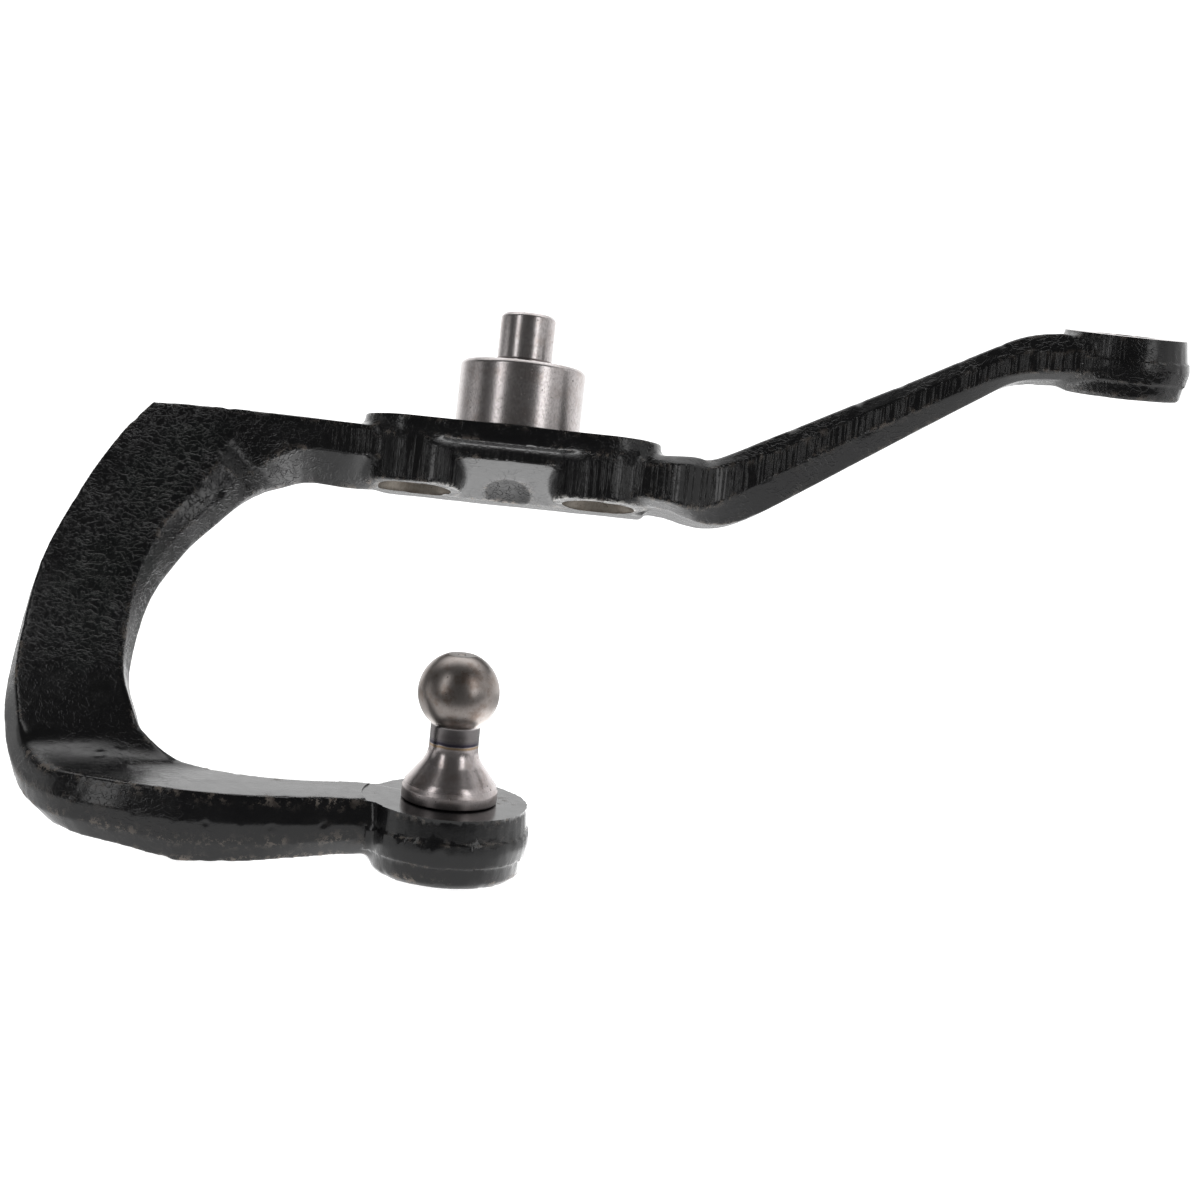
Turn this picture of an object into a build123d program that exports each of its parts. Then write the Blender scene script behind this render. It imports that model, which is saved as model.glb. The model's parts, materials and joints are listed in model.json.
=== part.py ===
from build123d import *
import math
import os

# Steering knuckle arm of a closed-knuckle solid axle, right-way-up with its king-pin stub upwards.
# Three pieces: the forging, the pressed-in king-pin stub and the riveted-in ball stud.
# Frame: origin on the king-pin axis at the flange's mounting face, +Z along the king pin,
# +X towards the tie-rod eye, +Y towards the knuckle's far side. Millimetres.

# Knuckle flange
ARM_TOP = -3.8                # the arms' top surfaces lie this far below the machined pad
STUD_SPACING_X = 55.0
STUD_SPACING_Y = 47.0
LOBE_RADIUS = 14.0
LOBE_SCALLOP = 7.0            # the wall between two lobes stands back by this
PAD_LENGTH, PAD_WIDTH = 89.0, 76.0
PAD_CORNER = 17.0
PAD_THICKNESS = 5.8
WEB_HEIGHT = 10.1
RIM_DROP = 19.5               # underside at the lobes' rims
RIM_FLAT = 33.0               # it is level from here outwards
BELLY_DROP = 21.8             # underside along the middle
BELLY_HALF = 14.0
STUD_HOLE_RADIUS = 6.5
CONE_SEAT_RADIUS = 10.9
CONE_SEAT_DEPTH = 9.0
SEAT_DROP = 20.7              # underside at the stud holes
DIMPLE_RADIUS = 14.0          # of the sphere whose cap it is
DIMPLE_DEPTH = 1.9
DIMPLE_CENTRE = (0.0, -17.4, -19.4)

# King-pin stub, pressed into the flange
SPIGOT_RADIUS = 19.35
SPIGOT_HEIGHT = 21.6
JOURNAL_RADIUS = 8.5
JOURNAL_HEIGHT = 15.6
UNDERCUT = 0.35
UNDERCUT_WIDTH = 1.2
PIN_CHAMFER = 1.2
SHANK_DEPTH = 11.0            # the spigot's full diameter goes on this far into the flange

# Both steering joints lean by the king-pin inclination
INCLINATION = 9.5             # degrees

# Drag-link boss and ball stud
BOSS_X, BOSS_Y, BOSS_Z = -4.2, -80.0, -106.1
BOSS_RADIUS = 22.3
BOSS_HEIGHT = 19.2
BOSS_DRAFT = 6.0
BALL_RADIUS = 11.0
BALL_RISE = 29.8              # ball centre above the boss face
BALL_FLAT = 10.3              # the flat on the ball, above its centre
NECK_RADIUS = 6.7
NECK_FOOT = 14.95             # the neck runs into the flare at this height
FLARE_MIDDLE = (8.5, 10.0)    # radius and height where the fillet meets the cone
FLARE_FOOT = (12.7, 4.6)
COLLAR_RADIUS = 13.0
COLLAR_HEIGHT = 3.5
STUD_SHANK_RADIUS = 8.0

# Tie-rod eye
EYE_X, EYE_Y, EYE_Z = 179.2, -22.0, 47.0
EYE_RADIUS = 19.4
EYE_HEIGHT = 18.2
EYE_DRAFT = 9.0
TAPER_TOP_RADIUS = 9.0        # mouth of the tapered hole, at the upper face
TAPER_ANGLE = 4.76            # half-angle of a 1:6 taper

# Gooseneck: cross-sections of its three runs, from the flange to the outer corner, down the leg
# and along to the boss. x, y, z is the outer front corner, lean turns the face from upright (0) to
# facing up (90), turn is the direction across the face (90 is down). Then, measured across the
# face from that corner: ridge, lip and waist; lip_back, how far the lip lies behind the face;
# draw, how far the inner wall draws in behind the waist; proud, how far the trimmed edge stands
# out; and the depth from front to back.
TOP_ARM = (
    # x, y, z, lean, turn, ridge, lip, lip_back, waist, draw, proud, depth
    (-20.0, -33.6, ARM_TOP, 0.0, 90.0, 2.0, 9.0, 0.4, 17.0, 1.5, 0.0, 67.0),
    (-45.0, -33.6, ARM_TOP, 0.0, 90.0, 2.0, 9.0, 0.4, 19.0, 3.0, 0.0, 65.0),
    (-62.0, -33.4, -3.5, 0.0, 86.0, 2.5, 9.5, 0.8, 19.2, 3.5, 0.0, 48.0),
    (-80.0, -32.8, -3.3, 8.0, 62.0, 5.0, 17.0, 2.5, 24.0, 5.5, 0.3, 32.0),
    (-95.0, -33.0, -3.4, 16.0, 43.0, 17.0, 27.0, 3.5, 31.6, 5.5, 1.5, 26.0),
    (-105.5, -33.6, -3.9, 23.5, 36.0, 28.0, 34.5, 4.0, 38.4, 5.0, 2.8, 22.0),
)
LEG = (
    TOP_ARM[-1],
    (-112.9, -37.6, -14.0, 23.5, 34.0, 28.5, 34.2, 4.0, 37.4, 5.0, 2.2, 20.0),
    (-120.9, -45.0, -31.2, 23.5, 25.5, 27.2, 30.7, 3.5, 33.5, 5.0, 2.2, 19.0),
    (-127.7, -54.9, -53.7, 23.5, 8.0, 27.9, 29.7, 3.0, 30.9, 4.5, 2.4, 19.0),
    (-128.5, -66.3, -80.2, 23.5, -3.5, 29.3, 29.5, 3.0, 29.6, 4.0, 3.2, 19.0),
    (-125.5, -72.2, -93.6, 27.0, -8.5, 30.9, 31.1, 3.0, 31.2, 4.0, 5.0, 18.4),
    (-121.5, -77.5, -102.8, 42.0, -16.5, 31.9, 32.2, 4.0, 32.3, 4.5, 4.4, 17.4),
    (-114.5, -86.0, -107.1, 62.0, -28.0, 32.8, 33.4, 5.0, 33.6, 5.0, 3.2, 17.0),
    (-104.0, -92.9, -108.4, 76.0, -40.0, 32.5, 33.3, 6.0, 33.8, 4.5, 2.8, 16.9),
    (-89.9, -96.4, -108.9, 80.5, -53.0, 29.0, 30.0, 6.0, 30.5, 4.0, 2.5, 17.5),
    (-74.0, -98.2, -109.2, 80.5, -67.0, 24.4, 25.4, 6.0, 26.0, 4.0, 2.2, 19.8),
)
LOWER_ARM = (
    LEG[-1],
    (-57.5, -97.8, -109.1, 80.5, -80.0, 20.8, 21.8, 6.0, 22.6, 4.0, 2.0, 18.4),
    (-43.0, -95.0, -108.7, 80.5, -88.0, 18.8, 19.8, 6.0, 20.8, 4.0, 2.0, 16.6),
    (-25.8, -90.5, -107.9, 80.5, -90.0, 18.6, 19.6, 6.0, 20.6, 4.0, 2.0, 15.2),
    (-6.0, -89.5, -107.7, 80.5, -90.0, 19.0, 20.0, 6.0, 21.0, 4.0, 2.0, 15.2),
)
BLEND_STEPS = 4               # sections drawn in each span between two of those above
BACK_EDGE = 1.0               # the back's outer corner stands in by this
TRIM_BAND = (0.39, 0.68)      # the trimmed edge runs between these shares of the depth

# Long arm: upright sections from inside the flange to inside the eye. Each gives the heights of
# the top, of the two trim lines and of the bottom, the middle's y and half the width at the trim.
LONG_ARM = (
    # x, top, upper trim, lower trim, bottom, middle y, half width
    (20.0, -3.8, -6.4, -16.4, -18.8, 0.0, 33.4),
    (45.0, -3.6, -6.2, -17.0, -19.4, -0.4, 33.0),
    (54.0, -2.9, -5.8, -18.2, -21.4, -2.0, 28.0),
    (60.0, -2.8, -5.8, -17.4, -22.4, -3.5, 22.5),
    (67.0, 0.4, -3.2, -13.2, -21.4, -5.0, 18.6),
    (75.0, 4.7, -0.2, -8.2, -17.6, -6.5, 16.5),
    (86.0, 10.4, 5.4, -1.2, -10.6, -8.5, 15.0),
    (114.0, 25.0, 20.6, 15.2, 8.0, -13.5, 13.5),
    (137.0, 37.2, 32.3, 27.6, 23.2, -17.5, 12.8),
    (147.0, 42.2, 36.9, 31.0, 29.2, -19.0, 13.0),
    (157.0, 44.2, 38.2, 32.4, 30.7, -20.5, 14.0),
    (172.0, 44.6, 38.8, 32.8, 31.0, -22.0, 15.0),
)
BOSS_EDGE = 1.6               # forged lower edges
EYE_EDGE = 0.8
ARM_BEVEL = 3.2               # the drafted top and bottom are narrower than the trim by this

TILT = math.radians(INCLINATION)
JOINT_AXIS = Vector(0, -math.sin(TILT), math.cos(TILT))


def joint_plane(x, y, z):
    """Plane through a point, square to the leaning steering joints, its X along the object's X."""
    return Plane(origin=(x, y, z), x_dir=(1, 0, 0), z_dir=JOINT_AXIS)


def closed_face(points):
    return make_face(Polyline(*points, close=True))


def gooseneck_section(x, y, z, lean, turn, ridge, lip, lip_back, waist, draw, proud, depth):
    lean, turn = math.radians(lean), math.radians(turn)
    down_face = Vector(0, -math.sin(lean), -math.cos(lean))
    back = Vector(0, math.cos(lean), -math.sin(lean))
    across = Vector(1, 0, 0) * math.cos(turn) + down_face * math.sin(turn)
    corner = Vector(x, y, z)
    waist_back = 0.5 * min(depth, 20.0)
    outline = (
        (0.0, 0.0),
        (ridge, 0.0),
        (lip, lip_back),
        (waist, waist_back),
        (waist - draw, depth),
        (BACK_EDGE, depth),
        (-proud, TRIM_BAND[1] * depth),
        (-proud, TRIM_BAND[0] * depth),
    )
    return closed_face([corner + across * a + back * b for a, b in outline])


def long_arm_section(x, top, upper, lower, bottom, middle, half):
    outline = (
        (half - ARM_BEVEL, top),
        (half, upper),
        (half, lower),
        (half - 1.6 * ARM_BEVEL, bottom),
    )
    right = [(x, middle + side, height) for side, height in outline]
    left = [(x, middle - side, height) for side, height in reversed(outline)]
    return closed_face(right + left)


def lobe_centres():
    return [(sx * STUD_SPACING_X / 2, sy * STUD_SPACING_Y / 2) for sx in (-1, 1) for sy in (-1, 1)]


def along_x(points, half_length):
    """A solid of one cross-section in Y and Z, centred on the king pin."""
    return extrude(Plane.YZ * closed_face(points), half_length, both=True)


def flange():
    length = STUD_SPACING_X + 2 * LOBE_RADIUS
    width = STUD_SPACING_Y + 2 * LOBE_RADIUS
    rim, inner = width / 2 - LOBE_SCALLOP, BELLY_HALF
    pad = extrude(RectangleRounded(PAD_LENGTH, PAD_WIDTH, PAD_CORNER), -PAD_THICKNESS)
    lobe = Pos(0, 0, -PAD_THICKNESS) * extrude(Circle(LOBE_RADIUS), PAD_THICKNESS - BELLY_DROP)
    lobes = [Pos(x, y) * lobe for x, y in lobe_centres()]
    # The underside slopes from the web between two lobes to the keel along the middle
    web = along_x([
        (-rim, -PAD_THICKNESS / 2), (-rim, -WEB_HEIGHT), (-inner, -BELLY_DROP),
        (inner, -BELLY_DROP), (rim, -WEB_HEIGHT), (rim, -PAD_THICKNESS / 2),
    ], STUD_SPACING_X / 2)
    keel = along_x([
        (-inner - 1, -WEB_HEIGHT), (-inner, -BELLY_DROP), (inner, -BELLY_DROP),
        (inner + 1, -WEB_HEIGHT),
    ], length / 2)
    below = along_x([
        (-width, -RIM_DROP), (-RIM_FLAT, -RIM_DROP), (-inner, -BELLY_DROP),
        (inner, -BELLY_DROP), (RIM_FLAT, -RIM_DROP), (width, -RIM_DROP),
        (width, -2 * BELLY_DROP), (-width, -2 * BELLY_DROP),
    ], length)
    return pad + lobes + web + keel - below


def blended(rows):
    """The rows with smooth in-between ones, each value on a curve through its neighbours."""
    first, last = rows[0], rows[-1]
    padded = [first, *rows, last]
    out = []
    for before, start, end, after in zip(padded, padded[1:], padded[2:], padded[3:]):
        for step in range(BLEND_STEPS):
            t = step / BLEND_STEPS
            out.append([
                0.5 * (2 * b + (c - a) * t + (2 * a - 5 * b + 4 * c - d) * t ** 2
                       + (3 * b - a - 3 * c + d) * t ** 3)
                for a, b, c, d in zip(before, start, end, after)
            ])
    return out + [last]


def gooseneck():
    # The curve is broken at the outer corner and where the lower arm's belly ends
    rows = blended(TOP_ARM)[:-1] + blended(LEG)[:-1] + blended(LOWER_ARM)
    return loft([gooseneck_section(*row) for row in rows], ruled=True)


def long_arm():
    return loft([long_arm_section(*row) for row in blended(LONG_ARM)], ruled=True)


def drafted_disc(plane, radius, height, draft, foot):
    """A forged disc below a plane, widest at its mid-height where the dies met."""
    edge = radius - math.tan(math.radians(draft)) * height / 2
    profile = closed_face([
        (0, 0), (edge, 0), (radius, -height / 2), (edge, foot - height), (edge - foot, -height),
        (0, -height),
    ])
    return plane * revolve(Plane.XZ * profile, Axis.Z)


def stud_holes():
    hole = closed_face([
        (0, 1), (STUD_HOLE_RADIUS, 1), (STUD_HOLE_RADIUS, CONE_SEAT_DEPTH - SEAT_DROP),
        (CONE_SEAT_RADIUS, -SEAT_DROP), (CONE_SEAT_RADIUS, -SEAT_DROP - 4), (0, -SEAT_DROP - 4),
    ])
    one = revolve(Plane.XZ * hole, Axis.Z)
    return [Pos(x, y) * one for x, y in lobe_centres()]


def dimple():
    """The dish under the king pin, sunk in the slope between the web and the belly."""
    run = (STUD_SPACING_Y / 2 + LOBE_RADIUS) - LOBE_SCALLOP - BELLY_HALF
    slope = Vector(0, -(BELLY_DROP - WEB_HEIGHT), -run).normalized()
    surface = Vector(*DIMPLE_CENTRE)
    centre = surface + slope * (DIMPLE_RADIUS - DIMPLE_DEPTH)
    return Pos(*centre) * Sphere(DIMPLE_RADIUS)


def tapered_hole():
    depth = EYE_HEIGHT + 2
    small = TAPER_TOP_RADIUS - depth * math.tan(math.radians(TAPER_ANGLE))
    large = TAPER_TOP_RADIUS + math.tan(math.radians(TAPER_ANGLE))
    plane = joint_plane(EYE_X, EYE_Y, EYE_Z)
    hole = closed_face([(0, 1), (large, 1), (small, -depth), (0, -depth)])
    return plane * revolve(Plane.XZ * hole, Axis.Z)


def forged_arm():
    boss_plane = joint_plane(BOSS_X, BOSS_Y, BOSS_Z)
    eye_plane = joint_plane(EYE_X, EYE_Y, EYE_Z)
    body = flange() + gooseneck() + long_arm()
    body += drafted_disc(boss_plane, BOSS_RADIUS, BOSS_HEIGHT, BOSS_DRAFT, BOSS_EDGE)
    body += drafted_disc(eye_plane, EYE_RADIUS, EYE_HEIGHT, EYE_DRAFT, EYE_EDGE)
    # The machined faces at the boss and the eye
    body -= boss_plane * extrude(Circle(BOSS_RADIUS + 2), 30)
    body -= eye_plane * extrude(Circle(EYE_RADIUS + 2), 30)
    for hole in stud_holes():
        body -= hole
    body -= tapered_hole()
    body -= dimple()
    body -= Pos(0, 0, -SHANK_DEPTH) * extrude(Circle(SPIGOT_RADIUS), SHANK_DEPTH + 5)
    body -= boss_plane * extrude(Circle(STUD_SHANK_RADIUS), -BOSS_HEIGHT - 5)
    return body


def trunnion_pin():
    neck = SPIGOT_RADIUS - UNDERCUT
    top = SPIGOT_HEIGHT + JOURNAL_HEIGHT
    profile = closed_face([
        (0, -SHANK_DEPTH),
        (SPIGOT_RADIUS, -SHANK_DEPTH),
        (SPIGOT_RADIUS, 0),
        (neck, 0),
        (neck, UNDERCUT_WIDTH),
        (SPIGOT_RADIUS, UNDERCUT_WIDTH + UNDERCUT),
        (SPIGOT_RADIUS, SPIGOT_HEIGHT - PIN_CHAMFER),
        (SPIGOT_RADIUS - PIN_CHAMFER, SPIGOT_HEIGHT),
        (JOURNAL_RADIUS - UNDERCUT, SPIGOT_HEIGHT),
        (JOURNAL_RADIUS - UNDERCUT, SPIGOT_HEIGHT + UNDERCUT_WIDTH),
        (JOURNAL_RADIUS, SPIGOT_HEIGHT + UNDERCUT_WIDTH + UNDERCUT),
        (JOURNAL_RADIUS, top - PIN_CHAMFER),
        (JOURNAL_RADIUS - PIN_CHAMFER, top),
        (0, top),
    ])
    return revolve(Plane.XZ * profile, Axis.Z)


def ball_stud():
    flat_radius = math.sqrt(BALL_RADIUS ** 2 - BALL_FLAT ** 2)
    neck_drop = math.sqrt(BALL_RADIUS ** 2 - NECK_RADIUS ** 2)
    ball = ThreePointArc(
        (flat_radius, BALL_RISE + BALL_FLAT),
        (BALL_RADIUS, BALL_RISE),
        (NECK_RADIUS, BALL_RISE - neck_drop),
    )
    neck = Line((NECK_RADIUS, BALL_RISE - neck_drop), (NECK_RADIUS, NECK_FOOT))
    fillet = TangentArc((NECK_RADIUS, NECK_FOOT), FLARE_MIDDLE, tangent=(0, -1))
    foot = Polyline(
        FLARE_MIDDLE, FLARE_FOOT, (COLLAR_RADIUS, COLLAR_HEIGHT), (COLLAR_RADIUS, 0),
        (STUD_SHANK_RADIUS, 0), (STUD_SHANK_RADIUS, -BOSS_HEIGHT), (0, -BOSS_HEIGHT),
        (0, BALL_RISE + BALL_FLAT), (flat_radius, BALL_RISE + BALL_FLAT),
    )
    profile = make_face([ball, neck, fillet, foot])
    return joint_plane(BOSS_X, BOSS_Y, BOSS_Z) * revolve(Plane.XZ * profile, Axis.Z)


os.makedirs("parts", exist_ok=True)
for name, make in (
    ("forged_arm", forged_arm),
    ("trunnion_pin", trunnion_pin),
    ("ball_stud", ball_stud),
):
    export_step(make(), f"parts/{name}.step")
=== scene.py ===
import json
import math

import bmesh
import bpy
import numpy as np
from mathutils import Matrix, Vector, noise
from mathutils.bvhtree import BVHTree
from mathutils.kdtree import KDTree


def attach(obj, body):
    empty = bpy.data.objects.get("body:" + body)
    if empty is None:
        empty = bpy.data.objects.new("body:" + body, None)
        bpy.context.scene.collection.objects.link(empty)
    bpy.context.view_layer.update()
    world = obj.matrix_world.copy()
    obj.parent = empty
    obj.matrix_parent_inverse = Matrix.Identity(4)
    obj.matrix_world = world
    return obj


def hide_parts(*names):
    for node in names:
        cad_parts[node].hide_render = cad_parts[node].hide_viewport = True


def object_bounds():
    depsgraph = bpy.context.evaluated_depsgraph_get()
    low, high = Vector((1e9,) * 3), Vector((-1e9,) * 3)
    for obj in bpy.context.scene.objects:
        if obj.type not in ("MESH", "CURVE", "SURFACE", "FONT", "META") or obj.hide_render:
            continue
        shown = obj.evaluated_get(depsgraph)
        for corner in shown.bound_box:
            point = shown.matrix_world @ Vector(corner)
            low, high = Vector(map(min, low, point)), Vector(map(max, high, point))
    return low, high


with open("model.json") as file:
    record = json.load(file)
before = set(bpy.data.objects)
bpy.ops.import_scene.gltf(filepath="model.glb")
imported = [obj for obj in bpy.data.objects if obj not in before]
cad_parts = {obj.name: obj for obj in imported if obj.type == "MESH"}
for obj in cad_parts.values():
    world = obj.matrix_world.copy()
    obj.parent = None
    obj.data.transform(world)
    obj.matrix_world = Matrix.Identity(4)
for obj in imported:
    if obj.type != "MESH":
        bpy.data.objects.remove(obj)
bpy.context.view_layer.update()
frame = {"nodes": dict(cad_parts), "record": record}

# Looks of a forged steering knuckle arm: black-painted forging, turned king-pin stub and bare
# ball stud. Metres, in the CAD's frame. Profiles and the sizes below are in millimetres, and are
# scaled as they are used.

MM = 0.001
mounts = {m["name"]: m for m in frame["record"]["mounts"]}
JOINT_AXIS = Vector(mounts["drag_link_ball"]["axis"]).normalized()

BOSS_HEIGHT = 19.2
BOSS_PARTING = (-6.4, -13.0)      # the flash line's band, from the boss face down
EYE_HEIGHT = 18.2
EYE_PARTING = (-6.8, -13.2)
EYE_HOLE_RADIUS = 9.0             # at the eye's upper face
EYE_HOLE_SLOPE = math.radians(4.76)

BALL = 11.0                       # ball radius
BALL_FLAT = 10.3                  # ball centre to the flat on top
BALL_RISE = 29.8                  # ball centre above the boss face
NECK = 6.7

STUDS = [(sx * 27.5, sy * 23.5) for sx in (-1, 1) for sy in (-1, 1)]
SEAT_DROP = 20.7
SEAT_RADIUS = 10.9
UNDERSIDE = ((14.0, -21.8), (33.0, -19.5))    # the flange's underside, from its keel to its rim
DISH_CENTRE = (0, -17.4, -19.4)   # shallow forged dish in the flange's front wall

VOXEL = 0.56                      # remesh size of the forging's skin
MOST_TRIANGLES = 195000


# ---------------------------------------------------------------- small helpers

def leaning_frame(origin):
    """Placement with Z along the two leaning joints and X along the object's X."""
    z = JOINT_AXIS
    x = Vector((1, 0, 0))
    y = z.cross(x)
    turn = Matrix((x, y, z)).transposed().to_4x4()
    return Matrix.Translation(origin) @ turn


BALL_CENTRE = Vector(mounts["drag_link_ball"]["pos_m"])
BOSS = leaning_frame(BALL_CENTRE - JOINT_AXIS * BALL_RISE * MM)
EYE = leaning_frame(Vector(mounts["tie_rod_taper"]["pos_m"]))


def turned(name, profile, segments=144):
    """A mesh turned about Z from (radius, height) points in millimetres, closed on the axis."""
    bm = bmesh.new()
    rings = []
    for r, z in profile:
        if r < 1e-6:
            rings.append([bm.verts.new((0, 0, z * MM))])
        else:
            rings.append([
                bm.verts.new((r * MM * math.cos(t), r * MM * math.sin(t), z * MM))
                for t in (2 * math.pi * k / segments for k in range(segments))
            ])
    for low, high in zip(rings, rings[1:]):
        for k in range(segments):
            nxt = (k + 1) % segments
            if len(low) == 1 and len(high) > 1:
                bm.faces.new((low[0], high[nxt], high[k]))
            elif len(high) == 1 and len(low) > 1:
                bm.faces.new((low[k], low[nxt], high[0]))
            elif len(low) > 1:
                bm.faces.new((low[k], low[nxt], high[nxt], high[k]))
    me = bpy.data.meshes.new(name)
    bm.to_mesh(me)
    bm.free()
    return me


def add_object(name, mesh, placement=None):
    """Puts a mesh in the scene, at its own origin or at that placement."""
    o = bpy.data.objects.new(name, mesh)
    bpy.context.scene.collection.objects.link(o)
    if placement is not None:
        o.matrix_world = placement
    return o


def joined(name, meshes):
    """One mesh of several (mesh, placement) pairs."""
    bm = bmesh.new()
    for me, placement in meshes:
        copy = me.copy()
        copy.transform(placement)
        bm.from_mesh(copy)
        bpy.data.meshes.remove(copy)
    out = bpy.data.meshes.new(name)
    bm.to_mesh(out)
    bm.free()
    return out


def applied(obj):
    """The object's mesh with its modifiers applied."""
    bpy.context.view_layer.update()
    graph = bpy.context.evaluated_depsgraph_get()
    return bpy.data.meshes.new_from_object(obj.evaluated_get(graph))


def read_points(collection, field):
    values = np.empty(len(collection) * 3, np.float32)
    collection.foreach_get(field, values)
    return values.reshape(-1, 3).astype(float)


def set_coords(me, co):
    me.vertices.foreach_set("co", co.astype(np.float32).ravel())
    me.update()


def edge_pairs(me):
    pairs = np.empty(len(me.edges) * 2, np.int32)
    me.edges.foreach_get("vertices", pairs)
    return pairs.reshape(-1, 2)


def relax(co, pairs, weight, rounds):
    """Moves every point towards its neighbours' middle, by its own weight."""
    a, b, n = pairs[:, 0], pairs[:, 1], len(co)
    count = np.bincount(a, minlength=n) + np.bincount(b, minlength=n)
    for _ in range(rounds):
        total = np.stack(
            [np.bincount(a, co[b, k], n) + np.bincount(b, co[a, k], n) for k in range(3)], 1)
        co = co + weight[:, None] * (total / count[:, None] - co)
    return co


def noise_at(co, size_mm, seed=0.0, stretch=(1, 1, 1)):
    """Smooth noise from -1 to 1 at each point, with features of about that size."""
    k = 1 / (size_mm * MM)
    s = Vector(stretch) * k
    off = Vector((seed, 1.7 * seed, -0.6 * seed))
    return np.array([
        noise.noise(Vector((p[0] * s.x, p[1] * s.y, p[2] * s.z)) + off) for p in co])


def point_attribute(me, name, values):
    layer = me.attributes.new(name, "FLOAT", "POINT")
    layer.data.foreach_set("value", np.asarray(values, np.float32))


def smoothstep(x, low, high):
    t = np.clip((x - low) / (high - low), 0, 1)
    return t * t * (3 - 2 * t)


# ---------------------------------------------------------------- node helpers

class Nodes:
    """Short way to build a node tree."""

    def __init__(self, tree):
        self.tree = tree
        tree.nodes.clear()

    def add(self, kind, inputs=None, **settings):
        node = self.tree.nodes.new(kind)
        for key, value in settings.items():
            setattr(node, key, value)
        for key, value in (inputs or {}).items():
            self.feed(node.inputs[key], value)
        return node

    def feed(self, socket, value):
        if isinstance(value, bpy.types.NodeSocket):
            self.tree.links.new(value, socket)
        else:
            socket.default_value = value

    def math(self, op, a, b=0.0):
        n = self.add("ShaderNodeMath", operation=op)
        self.feed(n.inputs[0], a)
        self.feed(n.inputs[1], b)
        return n.outputs[0]

    def times(self, a, b):
        return self.math("MULTIPLY", a, b)

    def mix(self, factor, a, b, kind="RGBA"):
        """Colour a where the factor is 0, b where it is 1."""
        n = self.add("ShaderNodeMix", data_type=kind)
        self.feed(n.inputs["Factor"], factor)
        self.feed(n.inputs["A"], a)
        self.feed(n.inputs["B"], b)
        return n.outputs["Result"]

    def blend(self, factor, a, b):
        """The same for plain numbers."""
        return self.mix(factor, a, b, "FLOAT")

    def ramp(self, value, low, high, to_low=0.0, to_high=1.0):
        """Eases from to_low to to_high as the value goes from low to high."""
        n = self.add("ShaderNodeMapRange", interpolation_type="SMOOTHSTEP")
        self.feed(n.inputs["Value"], value)
        limits = {"From Min": low, "From Max": high, "To Min": to_low, "To Max": to_high}
        for key, v in limits.items():
            n.inputs[key].default_value = v
        return n.outputs["Result"]

    def noise(self, vector, scale, detail=3.0, rough=0.55, distortion=0.0):
        n = self.add("ShaderNodeTexNoise", {"Vector": vector, "Scale": scale, "Detail": detail,
                                            "Roughness": rough, "Distortion": distortion})
        return n.outputs["Fac"]

    def scaled(self, vector, scale, shift=(0, 0, 0)):
        n = self.add("ShaderNodeMapping", {"Vector": vector})
        n.inputs["Scale"].default_value = scale
        n.inputs["Location"].default_value = shift
        return n.outputs["Vector"]

    def attribute(self, name):
        return self.add("ShaderNodeAttribute", attribute_name=name).outputs["Fac"]

    def bump(self, height, strength, distance, normal=None):
        n = self.add("ShaderNodeBump",
                     {"Height": height, "Strength": strength, "Distance": distance})
        if normal is not None:
            self.feed(n.inputs["Normal"], normal)
        return n.outputs["Normal"]


def material(name):
    """A new material with its node helper, its shader and the object's own coordinates."""
    m = bpy.data.materials.new(name)
    m.use_nodes = True
    n = Nodes(m.node_tree)
    out = n.add("ShaderNodeOutputMaterial")
    shader = n.add("ShaderNodeBsdfPrincipled")
    m.node_tree.links.new(shader.outputs[0], out.inputs[0])
    where = n.add("ShaderNodeTexCoord").outputs["Object"]
    return m, n, shader, where


# ---------------------------------------------------------------- materials

def folds(n, where, scale, width):
    """Thin raised lines that wander over the surface, as wrinkles in a thick coat of paint do."""
    field = n.noise(where, scale, 1.5, 0.45, 0.6)
    away = n.math("ABSOLUTE", n.math("SUBTRACT", field, 0.5))
    return n.ramp(away, 0.0, width, 1.0, 0.0)


BLACK, BLACK_LIT = (0.0040, 0.0040, 0.0046, 1), (0.0062, 0.0061, 0.0068, 1)
DUST, SCRAPED = (0.045, 0.041, 0.038, 1), (0.018, 0.017, 0.017, 1)
# SCUFFED_AND_RIM_HIGHLIGHT is near-white: the rims' real scuffs, and also a painted highlight along those
# rims
RUBBED, SCUFFED_AND_RIM_HIGHLIGHT = (0.17, 0.142, 0.12, 1), (0.42, 0.41, 0.39, 1)


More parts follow.
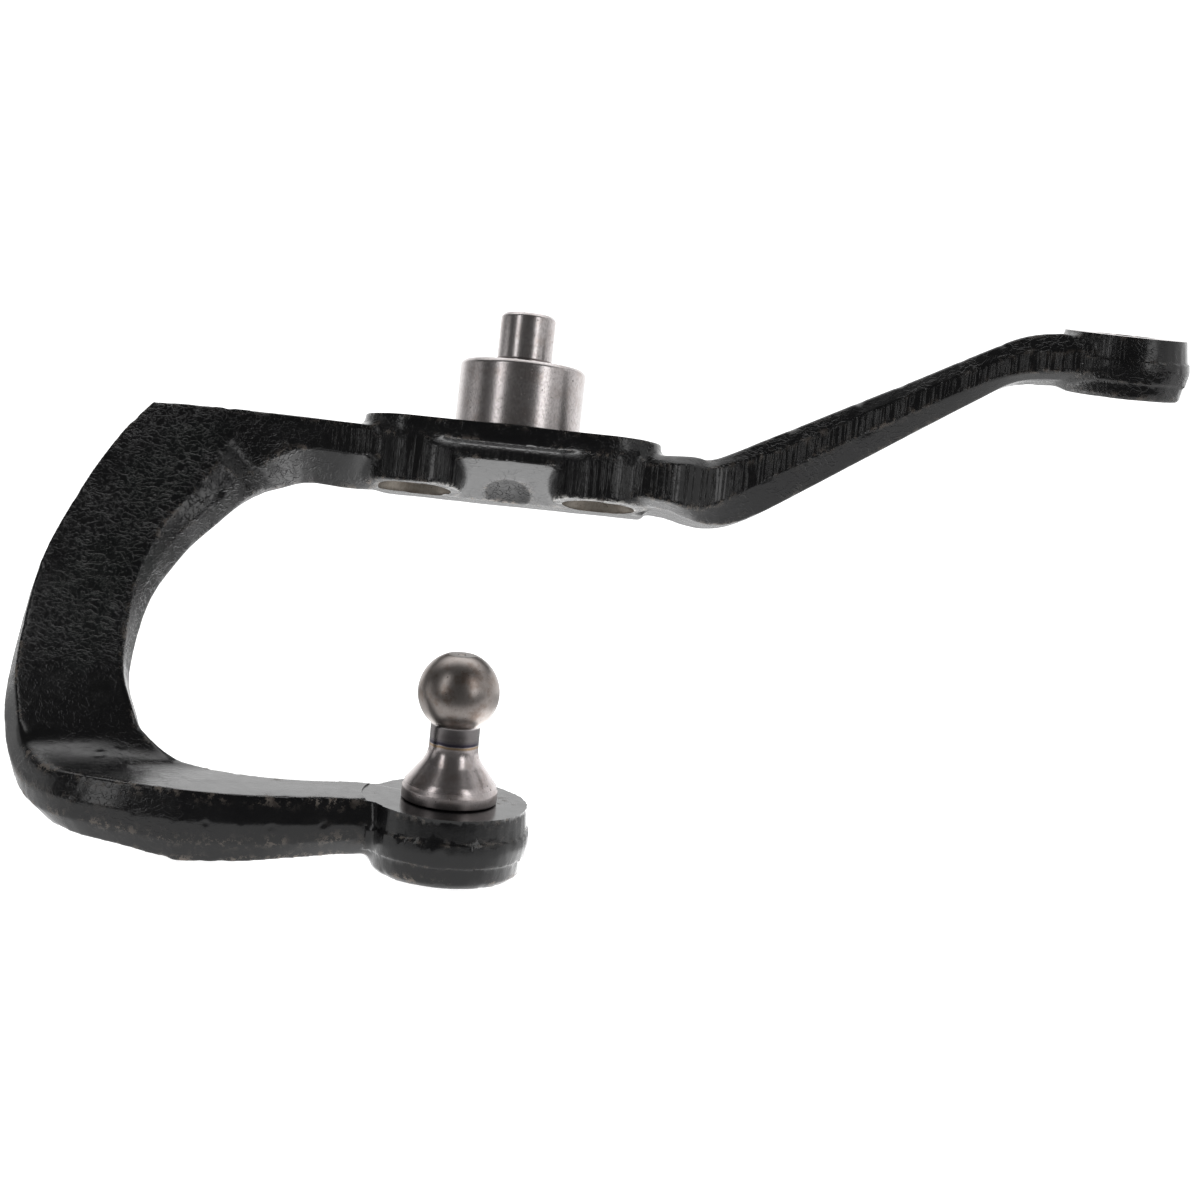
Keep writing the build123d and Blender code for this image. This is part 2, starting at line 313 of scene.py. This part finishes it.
def black_paint(name, crinkle):
    """Glossy black paint over the forging's skin, rubbed through along its edges."""
    m, n, shader, where = material(name)
    edge = n.attribute("edge")
    shear = n.attribute("shear")
    skin = n.attribute("skin")
    scuff_and_rim_highlight = n.attribute("scuff_and_rim_highlight")
    pocket = n.attribute("pocket")
    patch = n.noise(where, 75.0, 3.0, 0.55)
    grit = n.noise(where, 1100.0, 5.0, 0.65)
    chips = n.noise(where, 480.0, 5.0, 0.7)
    rubbed = n.times(edge, n.ramp(patch, 0.42, 0.58))
    rubbed = n.times(rubbed, n.ramp(chips, 0.50, 0.58))
    specks = n.times(n.ramp(n.noise(where, 700.0, 6.0, 0.7), 0.66, 0.74), 0.5)
    tone = n.mix(n.ramp(patch, 0.3, 0.7), BLACK, BLACK_LIT)
    tone = n.mix(n.times(specks, skin), tone, DUST)
    marks = n.noise(n.scaled(where, (1300.0, 1300.0, 40.0)), 1.0, 3.0, 0.6)
    scraped = n.times(n.ramp(marks, 0.45, 0.75, 0.25, 1.0), shear)
    tone = n.mix(n.times(scraped, 0.6), tone, SCRAPED)
    tone = n.mix(rubbed, tone, RUBBED)
    # Near-white scuffs on the lobes' lower rims: real scuffs, and also a painted highlight along those rims
    scuffed_and_rim_highlight = n.times(scuff_and_rim_highlight, n.ramp(n.noise(where, 380.0, 6.0, 0.75), 0.48, 0.57))
    tone = n.mix(scuffed_and_rim_highlight, tone, SCUFFED_AND_RIM_HIGHLIGHT)
    n.feed(shader.inputs["Base Color"], tone)
    gloss = n.ramp(n.noise(where, 300.0, 4.0), 0.3, 0.7, 0.145, 0.225)
    dull = n.math("MAXIMUM", n.math("MAXIMUM", rubbed, scuffed_and_rim_highlight), n.times(pocket, 0.8))
    n.feed(shader.inputs["Roughness"], n.blend(dull, gloss, 0.6))
    shader.inputs["IOR"].default_value = 1.5
    # Wrinkles in the thick coat, one to three millimetres apart, in patches
    drawn = n.scaled(where, (0.85, 0.85, 1.25))
    large = folds(n, drawn, 300.0, 0.026)
    small = n.times(folds(n, n.scaled(drawn, (1, 1, 1), (7.0, 3.0, 5.0)), 560.0, 0.038), 0.55)
    creases = n.math("ADD", large, small)
    lumps = n.times(n.noise(where, 520.0, 2.0), 0.4)
    height = n.times(n.math("ADD", creases, lumps), skin)
    height = n.times(height, n.ramp(patch, 0.34, 0.56, 0.22, 1.0))
    normal = n.bump(height, crinkle, 0.00020)
    # Shear marks down the trimmed edges
    normal = n.bump(n.times(n.ramp(marks, 0.48, 0.72), shear), 0.7, 0.00042, normal)
    normal = n.bump(grit, 0.3, 0.00006, normal)
    n.feed(shader.inputs["Normal"], normal)
    return m


PIT = (0.04, 0.035, 0.03, 1)
OXIDE, STRAW, BLUE = (0.11, 0.105, 0.108, 1), (0.33, 0.20, 0.07, 1), (0.022, 0.021, 0.042, 1)


def turned_steel(name, tone, rough, tint=False, rings=1.0, stained=0.45, grainy=0.5):
    """Bare steel with circumferential tool marks, fine stains and oil pits."""
    m, n, shader, where = material(name)
    height = n.add("ShaderNodeSeparateXYZ", {"Vector": where}).outputs["Z"]
    ring = n.noise(n.scaled(where, (18.0, 18.0, 4200.0)), 1.0, 3.0, 0.6)
    broad = n.noise(n.scaled(where, (70.0, 70.0, 130.0)), 1.0, 4.0, 0.6)
    pits = n.ramp(n.noise(where, 1300.0, 2.0, 0.5), 0.69, 0.75)
    stain = n.ramp(n.noise(where, 190.0, 5.0, 0.65), 0.46, 0.70)
    light, dark, darkest = ((*(c * k for c in tone), 1) for k in (1.10, 0.84, 0.62))
    brown = (tone[0] * 0.58, tone[1] * 0.49, tone[2] * 0.43, 1)
    colour = n.mix(broad, dark, light)
    colour = n.mix(n.times(stain, stained), colour, brown)
    grain = n.noise(n.scaled(where, (1.0, 1.0, 0.6)), 1700.0, 4.0, 0.65)
    colour = n.mix(n.ramp(grain, 0.44, 0.62, 0.0, grainy), colour, darkest)
    colour = n.mix(n.times(pits, 0.85), colour, PIT)
    roughness = n.math("ADD", n.times(ring, 0.07 * rings), rough - 0.035 * rings)
    if tint:
        # The neck's heat tint: dark oxide up to the ball, a blue line, then straw; a dull collar
        wobble = n.times(n.math("SUBTRACT", n.noise(where, 180.0), 0.5), 0.0009)
        level = n.math("ADD", height, wobble)
        oxide = n.ramp(level, 0.0166, 0.0174)
        colour = n.mix(n.times(oxide, 0.78), colour, OXIDE)
        blue = n.times(n.ramp(level, 0.0158, 0.0162), n.ramp(level, 0.0165, 0.0178, 1.0, 0.0))
        straw = n.times(n.ramp(level, 0.0149, 0.0156), n.ramp(level, 0.0157, 0.0160, 1.0, 0.0))
        roughness = n.math("ADD", roughness, n.ramp(height, 0.0040, 0.0050, 0.12, 0.0))
        colour = n.mix(n.times(straw, 0.7), colour, STRAW)
        colour = n.mix(n.times(blue, 0.93), colour, BLUE)
    n.feed(shader.inputs["Base Color"], colour)
    n.feed(shader.inputs["Roughness"], roughness)
    shader.inputs["Metallic"].default_value = 1.0
    normal = n.bump(ring, 0.12 * rings, 0.00003)
    normal = n.bump(n.math("SUBTRACT", 1.0, pits), 0.5, 0.00006, normal)
    normal = n.bump(grain, 0.10, 0.00004, normal)
    n.feed(shader.inputs["Normal"], normal)
    return m


paint = black_paint("black_paint", 1.0)
machined_paint = black_paint("machined_black_paint", 0.15)
bare_machined = turned_steel("bare_machined_steel", (0.30, 0.27, 0.235), 0.42)
pin_steel = turned_steel("turned_pin_steel", (0.55, 0.513, 0.508), 0.25, rings=0.18, stained=0.42)
stud_steel = turned_steel("turned_stud_steel", (0.52, 0.475, 0.47), 0.235,
                          tint=True, rings=0.2, stained=0.55, grainy=0.35)
ball_steel = turned_steel("satin_ball_steel", (0.33, 0.298, 0.28), 0.33,
                          rings=0.3, stained=0.9, grainy=0.25)


# ---------------------------------------------------------------- forged arm

def underside(y_mm):
    """Height of the flange's underside at that distance from the king-pin axis."""
    (y0, z0), (y1, z1) = UNDERSIDE
    return z0 + (min(max(abs(y_mm), y0), y1) - y0) * (z1 - z0) / (y1 - y0)


def plug(outline, segments=96):
    return turned("plug", outline, segments)


def filled_forging():
    """The CAD forging as one closed mesh, with its holes filled and its machined faces raised."""
    forging = frame["nodes"]["forged_arm"].data
    parts = [(forging, Matrix.Identity(4))]
    for x, y in STUDS:
        place = Matrix.Translation((x * MM, y * MM, 0))
        parts.append((plug([(0, -12), (7.2, -12), (7.2, -1), (0, -1)], 32), place))
        # Each seat is filled flush with the sloping underside
        wide = SEAT_RADIUS + 0.6
        seat = plug([(0, -25), (wide, -25), (wide, -9), (0, -9)], 48)
        for v in seat.vertices:
            if v.co.z < -20 * MM:
                v.co.z = underside(y + v.co.y / MM) * MM
        parts.append((seat, place))
    parts.append((plug([(0, -12), (19.8, -12), (19.8, -0.9), (0, -0.9)]), Matrix.Identity(4)))
    foot = -BOSS_HEIGHT + 0.2
    parts.append((plug([(0, foot), (9, foot), (9, 0), (20.6, -2), (21.28, 0), (20.97, 3), (0, 3)]), BOSS))
    foot = -EYE_HEIGHT + 0.1
    parts.append((plug([(0, foot), (10, foot), (10, -2), (17.6, -2), (17.95, 0), (17.5, 3), (0, 3)]), EYE))
    return joined("forging", parts)


def sharp_points(me, spacing):
    """Points along the CAD mesh's sharp edges, ridges and valleys apart."""
    bm = bmesh.new()
    bm.from_mesh(me)
    bmesh.ops.remove_doubles(bm, verts=bm.verts, dist=2e-6)
    ridges, valleys = [], []
    for e in bm.edges:
        if len(e.link_faces) != 2:
            continue
        angle = e.calc_face_angle_signed(0.0)
        if abs(angle) < math.radians(14):
            continue
        a, b = e.verts[0].co, e.verts[1].co
        steps = max(1, math.ceil((b - a).length / spacing))
        points = [(a.lerp(b, (k + 0.5) / steps), abs(angle)) for k in range(steps)]
        (ridges if angle > 0 else valleys).extend(points)
    bm.free()
    return ridges, valleys


def nearest_edge(co, points):
    """At each point, the distance to the nearest of the edge points, and that edge's angle."""
    tree = KDTree(len(points))
    for k, (p, _) in enumerate(points):
        tree.insert(p, k)
    tree.balance()
    near, angle = np.zeros(len(co)), np.zeros(len(co))
    for k, p in enumerate(co):
        _, index, distance = tree.find(p)
        near[k] = distance
        angle[k] = points[index][1]
    return near, angle


def local_mm(co, placement):
    """The points in that placement's own frame, in millimetres."""
    return (np.c_[co, np.ones(len(co))] @ np.array(placement.inverted()).T)[:, :3] / MM


def forged_body():
    """The forging's outside: CAD shape, filleted, with an uneven skin and proud flash lines."""
    base = add_object("forging_base", filled_forging())
    mod = base.modifiers.new("remesh", "REMESH")
    mod.mode = "VOXEL"
    mod.voxel_size = VOXEL * MM
    mod.use_smooth_shade = True
    me = applied(base)
    bpy.data.objects.remove(base)
    cad = frame["nodes"]["forged_arm"].data
    ridges, valleys = sharp_points(cad, 0.0006)
    co, pairs = read_points(me.vertices, "co"), edge_pairs(me)
    to_valley, _ = nearest_edge(co, valleys)
    fillet = np.exp(-(to_valley / 0.0026) ** 2)
    co = relax(co, pairs, 0.5 * fillet, 40)
    co = relax(co, pairs, np.full(len(co), 0.5), 1)
    to_ridge, ridge_angle = nearest_edge(co, ridges)
    set_coords(me, co)
    no = read_points(me.vertex_normals, "vector")

    # Which faces the trimming die sheared, and which are machined
    surface = BVHTree.FromPolygons([v.co.copy() for v in cad.vertices],
                                   [tuple(p.vertices) for p in cad.polygons])
    flat = np.array([surface.find_nearest(Vector(p))[1] for p in co])
    upright = 1 - smoothstep(np.abs(flat[:, 2]), 0.05, 0.12)
    mm = co / MM
    in_flange = (np.abs(mm[:, 0]) < 52) & (mm[:, 2] < -5.4) & (mm[:, 2] > -19)
    in_arm = mm[:, 0] >= 50
    eye_local, boss_local = local_mm(co, EYE), local_mm(co, BOSS)
    eye_round = np.hypot(eye_local[:, 0], eye_local[:, 1])
    boss_round = np.hypot(boss_local[:, 0], boss_local[:, 1])
    shear = upright * (in_flange | in_arm)
    in_eye = (eye_round < 21.5) & (eye_local[:, 2] > -25)
    in_boss = (boss_round < 24) & (boss_local[:, 2] > -30)
    shear = np.where(in_eye, 0.45 * smoothstep(-eye_local[:, 0], -2, 12), shear)
    shear = np.where(in_boss, 0.06, shear)
    shear = np.where(in_flange, np.where(mm[:, 0] > 0, 0.35, 0.6) * shear, shear)
    machined = smoothstep(mm[:, 2], -0.9, -0.2) * (np.abs(mm[:, 0]) < 46)

    # Uneven skin, and edges that were knocked and dressed
    waves = 0.11 * noise_at(co, 19, 3.1) + 0.04 * noise_at(co, 7.5, 8.3)
    knocks = np.exp(-(to_ridge / 0.0012) ** 2) * smoothstep(noise_at(co, 4.0, 11.0), 0.15, 0.7) * 0.28
    lift = (waves - knocks) * (1 - machined) * MM

    # A band round the boss and the eye that the trimmed flash left a little proud, with
    # wavering edges that get the paler rubbed colour
    parted = np.zeros(len(co))
    round_boss = in_boss & (boss_round > 17)
    round_eye = (eye_round < 21.5) & (eye_round > 15) & (np.abs(eye_local[:, 2]) < 22)
    for local, around, (top, foot) in ((boss_local, round_boss, BOSS_PARTING),
                                       (eye_local, round_eye, EYE_PARTING)):
        z = local[:, 2] + 0.5 * noise_at(co, 9, 4.4)
        band = smoothstep(z, foot - 0.22, foot + 0.22) * (1 - smoothstep(z, top - 0.22, top + 0.22))
        lift += 0.50 * MM * around * band
        lines = np.exp(-((z - top) / 0.35) ** 2) + np.exp(-((z - foot) / 0.35) ** 2)
        parted = np.maximum(parted, around * lines)
    # The lower arm stands a little above the spot-faced boss
    top_of_arm = smoothstep(flat @ np.array(JOINT_AXIS), 0.93, 0.99)
    near_boss = smoothstep(boss_round, 19, 22) * (1 - smoothstep(boss_round, 34, 60)) * (mm[:, 2] < -90)
    lift += 0.4 * MM * top_of_arm * near_boss
    lift *= 1 - (eye_round < 16) * (np.abs(eye_local[:, 2]) < 30)
    co = co + no * lift[:, None]
    set_coords(me, co)

    low_corner = smoothstep(-mm[:, 2], 88, 100) * (mm[:, 0] < -20)
    edge = np.exp(-(to_ridge / (0.0010 + 0.0005 * low_corner)) ** 2)
    edge = edge * smoothstep(ridge_angle, 0.25, 0.7)
    # More wear where the part was handled: the leg's outer edge, the lower corner, the lobes' rims
    handled = 0.55 + 0.45 * smoothstep(-mm[:, 2], 60, 95)
    rims = smoothstep(-mm[:, 2], 15.5, 18.0) * (np.abs(mm[:, 0]) < 50) * (mm[:, 2] > -24)
    point_attribute(me, "edge", np.clip(edge * np.maximum(handled, rims) + 0.6 * parted, 0, 1))
    point_attribute(me, "shear", np.clip(shear, 0, 1))
    # White scuffs where the flange's lower rims rub, which also paint a highlight on those rims, and the
    # dish under the king pin left dull
    rim_scuff_and_highlight = np.exp(-(to_ridge / 0.0009) ** 2) * (np.abs(mm[:, 2] + 19.6) < 1.1) * (mm[:, 1] < -22)
    inboard = smoothstep(mm[:, 0], -26, -18) * (mm[:, 0] < 52) * (np.abs(mm[:, 0]) > 10)
    point_attribute(me, "scuff_and_rim_highlight", np.clip(rim_scuff_and_highlight * inboard, 0, 1))
    dish = np.linalg.norm(mm - np.array(DISH_CENTRE), axis=1)
    dish_here = 1 - smoothstep(dish, 6.6, 7.6)
    point_attribute(me, "pocket", dish_here)
    leg = smoothstep(-mm[:, 0], 55, 85)
    # The wrinkles are strongest on the leg and die away towards its lower corner
    calm = smoothstep(-mm[:, 2] + 0.25 * (mm[:, 0] + 127), 70, 92)
    skin = (0.22 + 0.78 * leg) * (1 - 0.88 * calm) * (1 - 0.8 * np.clip(shear, 0, 1)) + 0.6 * dish_here
    point_attribute(me, "skin", np.clip(skin * (1 - machined), 0.03, 1))
    me.materials.clear()
    me.materials.append(paint)
    return me


def cutters():
    """Tools that cut the machined holes and faces back in crisply.

    Each tool's faces carry the finish that it leaves: 0 machined and painted, 1 bare, 2 bright.
    """
    seat = [(0, -SEAT_DROP - 6), (SEAT_RADIUS, -SEAT_DROP - 6), (SEAT_RADIUS, -SEAT_DROP),
            (6.5, 9.0 - SEAT_DROP), (6.5, 2), (0, 2)]
    tools = []
    for x, y in STUDS:
        tools.append((turned("seat", seat, 72), Matrix.Translation((x * MM, y * MM, 0)), 1))
    bore = [(0, -11.2), (19.45, -11.2), (19.45, 3), (0, 3)]
    tools.append((turned("bore", bore, 144), Matrix.Identity(4), 1))
    foot = -EYE_HEIGHT - 3
    small = EYE_HOLE_RADIUS + foot * math.tan(EYE_HOLE_SLOPE)
    eye = [(0, foot), (small, foot), (EYE_HOLE_RADIUS, 0), (25, 0), (25, 9), (0, 9)]
    tools.append((turned("eye", eye, 120), EYE, 2))
    foot = -BOSS_HEIGHT - 4
    boss = [(0, foot), (8.1, foot), (8.1, 0), (23.6, 0), (23.6, 9), (0, 9)]
    tools.append((turned("boss", boss, 144), BOSS, 0))
    bm = bmesh.new()
    for me, placement, slot in tools:
        me.transform(placement)
        before = len(bm.faces)
        bm.from_mesh(me)
        bm.faces.ensure_lookup_table()
        for f in bm.faces[before:]:
            f.material_index = slot
    bmesh.ops.recalc_face_normals(bm, faces=bm.faces)
    out = bpy.data.meshes.new("tools")
    bm.to_mesh(out)
    bm.free()
    for finish in (machined_paint, bare_machined, pin_steel):
        out.materials.append(finish)
    return out


arm = add_object("forged_arm_body", forged_body())
thin = arm.modifiers.new("thin", "DECIMATE")
thin.ratio = MOST_TRIANGLES / (2 * len(arm.data.polygons))
tools = add_object("machining_tools", cutters())
cut = arm.modifiers.new("machining", "BOOLEAN")
cut.operation = "DIFFERENCE"
cut.object = tools
cut.solver = "EXACT"
cut.material_mode = "TRANSFER"
finished = applied(arm)
arm.modifiers.clear()
arm.data = finished
bpy.data.objects.remove(tools)
finished.shade_smooth()
finished.set_sharp_from_angle(angle=math.radians(38))


# ---------------------------------------------------------------- king-pin stub

def eased(corner, radius, before, after, steps=4):
    """Points round a corner of a profile, eased to that radius."""
    c = Vector(corner)
    a = (Vector(before) - c).normalized() * radius
    b = (Vector(after) - c).normalized() * radius
    return [tuple(c + a * (1 - t) ** 2 + b * t ** 2) for t in (k / steps for k in range(steps + 1))]


def profile_of(points):
    """A profile from (radius, height, easing) corners."""
    out = []
    for k, (r, z, ease) in enumerate(points):
        if ease and 0 < k < len(points) - 1:
            out += eased((r, z), ease, points[k - 1][:2], points[k + 1][:2])
        else:
            out.append((r, z))
    return out


pin = add_object("king_pin_stub", turned("king_pin_stub", profile_of([
    (0, -11, 0), (18.6, -11, 0), (19.35, -10.2, 0), (19.35, 0, 0), (19.0, 0.05, 0), (19.0, 1.2, 0.1),
    (19.35, 1.55, 0.12), (19.35, 20.3, 0.5), (18.2, 21.5, 0.5), (12.0, 21.6, 0), (8.6, 21.6, 0.1),
    (8.15, 21.7, 0.1), (8.15, 22.8, 0.1), (8.5, 23.15, 0.1), (8.5, 36.1, 0.4), (7.4, 37.2, 0.4),
    (3.2, 37.2, 0), (2.6, 36.4, 0), (0, 35.6, 0)]), 192))
pin.data.materials.append(pin_steel)


# ---------------------------------------------------------------- ball stud

def stud_profile():
    """The ball stud from its shank's foot up: collar, flare, neck, ball and its flat."""
    points = [(0, -BOSS_HEIGHT), (7.2, -BOSS_HEIGHT), (8.0, -BOSS_HEIGHT + 0.8), (8.0, -0.02), (12.2, 0.02),
              (12.55, 0.10), (12.92, 0.42), (13.0, 0.7)]
    points += [(13.0, 2.8)] + eased((13.0, 3.5), 0.35, (13.0, 2.2), (12.5, 4.0))
    points += [(12.55, 4.5), (12.5, 4.8)]
    (x0, z0), (x1, z1), (x2, z2) = (12.5, 4.8), (8.5, 10.0), (NECK, 14.95)
    points += [(x0 + (x1 - x0) * t, z0 + (z1 - z0) * t) for t in (0.25, 0.5, 0.75)]
    # The flare curves up into the neck
    slope = (z1 - z0) / (x1 - x0)
    turn_at = z1 + slope * (NECK - x1)
    points += [((1 - t) ** 2 * x1 + 2 * t * (1 - t) * NECK + t * t * NECK,
                (1 - t) ** 2 * z1 + 2 * t * (1 - t) * turn_at + t * t * z2)
               for t in (k / 12 for k in range(13))]
    start = -math.acos(NECK / BALL)
    neck_top = BALL_RISE + BALL * math.sin(start)
    points += [(NECK, z2 + (neck_top - 0.5 - z2) * t) for t in (0.33, 0.66)]
    points += eased((NECK, neck_top), 0.5, (NECK, neck_top - 2), (NECK + 1.2, neck_top + 1.0))
    end = math.asin(BALL_FLAT / BALL)
    points += [(BALL * math.cos(a), BALL_RISE + BALL * math.sin(a))
               for a in (start + 0.07 + (end - 0.05 - start - 0.07) * k / 44 for k in range(45))]
    flat = BALL * math.cos(end)
    points += eased((flat, BALL_RISE + BALL_FLAT), 0.25, (flat + 1.0, BALL_RISE + BALL_FLAT - 0.4),
                    (flat - 1, BALL_RISE + BALL_FLAT))
    top = BALL_RISE + BALL_FLAT
    points += [(1.2, top), (0.9, top - 0.25), (0, top - 0.5)]
    return points


stud = add_object("drag_link_ball_stud", turned("drag_link_ball_stud", stud_profile(), 160), BOSS)
stud.data.materials.append(stud_steel)
stud.data.materials.append(ball_steel)
ball_foot = (BALL_RISE - BALL * math.sin(math.acos(NECK / BALL)) + 0.2) * MM
for face in stud.data.polygons:
    if face.center.z > ball_foot:
        face.material_index = 1

for piece in (pin, stud):
    piece.data.shade_smooth()
    piece.data.set_sharp_from_angle(angle=math.radians(30))

for piece, node, slot in ((arm, "forged_arm", "painted_forging"),
                          (pin, "trunnion_pin", "turned_steel"),
                          (stud, "ball_stud", "hardened_steel")):
    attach(piece, "root")
    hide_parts(node)


# ---------------------------------------------------------------- floor, light and camera

low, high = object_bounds()
floor_z = low.z - 0.0006
bm = bmesh.new()
bmesh.ops.create_grid(bm, x_segments=4, y_segments=4, size=6.0)
me = bpy.data.meshes.new("floor")
bm.to_mesh(me)
bm.free()
floor = add_object("floor", me, Matrix.Translation((0, 0, floor_z)))
floor_paint, n, shader, where = material("pale_floor")
shader.inputs["Base Color"].default_value = (0.6, 0.6, 0.6, 1)
shader.inputs["Roughness"].default_value = 0.7
shader.inputs["Emission Color"].default_value = (1.0, 1.0, 1.0, 1)
shader.inputs["Emission Strength"].default_value = 0.92
# A light table: it looks evenly pale, but throws most of its light from under and behind the
# object, with a brighter patch under the flange and a dimmer sheet in front
place = n.add("ShaderNodeSeparateXYZ", {"Vector": where})
x, y = place.outputs["X"], place.outputs["Y"]
under = n.times(n.ramp(y, -0.118, -0.070), n.ramp(y, 0.12, 0.40, 1.0, 0.20))
under = n.times(under, n.times(n.ramp(x, -0.095, -0.03, 0.10, 1.0),
                                         n.ramp(x, 0.045, 0.15, 1.0, 0.25)))
centre = n.times(n.times(n.ramp(y, -0.085, -0.05), n.ramp(y, 0.03, 0.07, 1.0, 0.0)),
                n.times(n.ramp(x, -0.045, -0.02), n.ramp(x, 0.02, 0.045, 1.0, 0.0)))
under = n.math("ADD", under, n.times(centre, 0.7))
near = n.times(n.ramp(y, -0.17, -0.125, 0.12, 0.95), n.ramp(y, 0.05, 0.25, 1.0, 0.6))
glow = n.add("ShaderNodeEmission", {"Color": (1, 1, 1, 1),
                                    "Strength": n.math("MAXIMUM", near, n.times(under, 2.7))})
seen = n.add("ShaderNodeLightPath").outputs["Is Camera Ray"]
both = n.add("ShaderNodeMixShader", {0: seen, 1: glow.outputs[0], 2: shader.outputs[0]})
out = next(node for node in floor_paint.node_tree.nodes if node.type == "OUTPUT_MATERIAL")
floor_paint.node_tree.links.new(both.outputs[0], out.inputs[0])
me.materials.append(floor_paint)

# The room: dark where the photographer stands, pale round the back, above and at both ends
world = bpy.data.worlds.new("studio")
bpy.context.scene.world = world
world.use_nodes = True
n = Nodes(world.node_tree)
direction = n.add("ShaderNodeTexCoord").outputs["Generated"]
split = n.add("ShaderNodeSeparateXYZ", {"Vector": direction})
sides = n.ramp(split.outputs["Y"], 0.10, 0.50, 0.09, 0.50)
behind = n.ramp(split.outputs["Y"], 0.50, 0.84, 0.0, 0.95)
above = n.times(n.ramp(split.outputs["Z"], 0.62, 0.95, 0.0, 1.7),
                n.ramp(split.outputs["Y"], -0.15, 0.25))
level = n.ramp(split.outputs["Z"], -0.22, -0.04)
right_side = n.times(n.ramp(split.outputs["X"], 0.58, 0.80, 0.0, 0.63), level)
left_side = n.times(n.ramp(split.outputs["X"], -1.0, -0.95, 0.55, 0.0), level)
above = n.math("ADD", above, n.math("ADD", left_side, right_side))
seen = n.add("ShaderNodeLightPath").outputs["Is Camera Ray"]
glow = n.math("ADD", n.math("ADD", sides, behind), above)
strength = n.blend(seen, glow, 1.4)
background = n.add("ShaderNodeBackground", {"Color": (1, 1, 1, 1), "Strength": strength})
out = n.add("ShaderNodeOutputWorld")
world.node_tree.links.new(background.outputs[0], out.inputs[0])


def strip_light(name, azimuth, width, power, height=1.3, z=0.15, distance=1.1):
    """A tall softbox that faces the object from that many degrees to one side of the camera."""
    light = bpy.data.lights.new(name, "AREA")
    light.shape = "RECTANGLE"
    light.size, light.size_y = width, height
    light.energy = power
    o = bpy.data.objects.new(name, light)
    bpy.context.scene.collection.objects.link(o)
    a = math.radians(azimuth)
    o.location = (distance * math.sin(a), -distance * math.cos(a), z)
    o.rotation_mode = "QUATERNION"
    o.rotation_quaternion = (-o.location).to_track_quat("-Z", "Y")


strip_light("left_softbox", -38, 0.24, 2.0)
strip_light("right_softbox", 43, 0.28, 2.3)

CAMERA_PLACE = (0.031, -0.650, -0.0481)       # level with the gap, looking along +Y
CAMERA_ROLL = math.radians(6.0)
camera = bpy.data.objects.new("camera", bpy.data.cameras.new("camera"))
bpy.context.scene.collection.objects.link(camera)
camera.data.lens = 63.0
camera.data.sensor_width = 36.0
camera.data.clip_start = 0.01
right = Vector((math.cos(CAMERA_ROLL), 0, math.sin(CAMERA_ROLL)))
up = Vector((-math.sin(CAMERA_ROLL), 0, math.cos(CAMERA_ROLL)))
turn = Matrix((right, up, Vector((0, -1, 0)))).transposed().to_4x4()
camera.matrix_world = Matrix.Translation(CAMERA_PLACE) @ turn
bpy.context.scene.camera = camera
bpy.context.scene.view_settings.view_transform = "Standard"
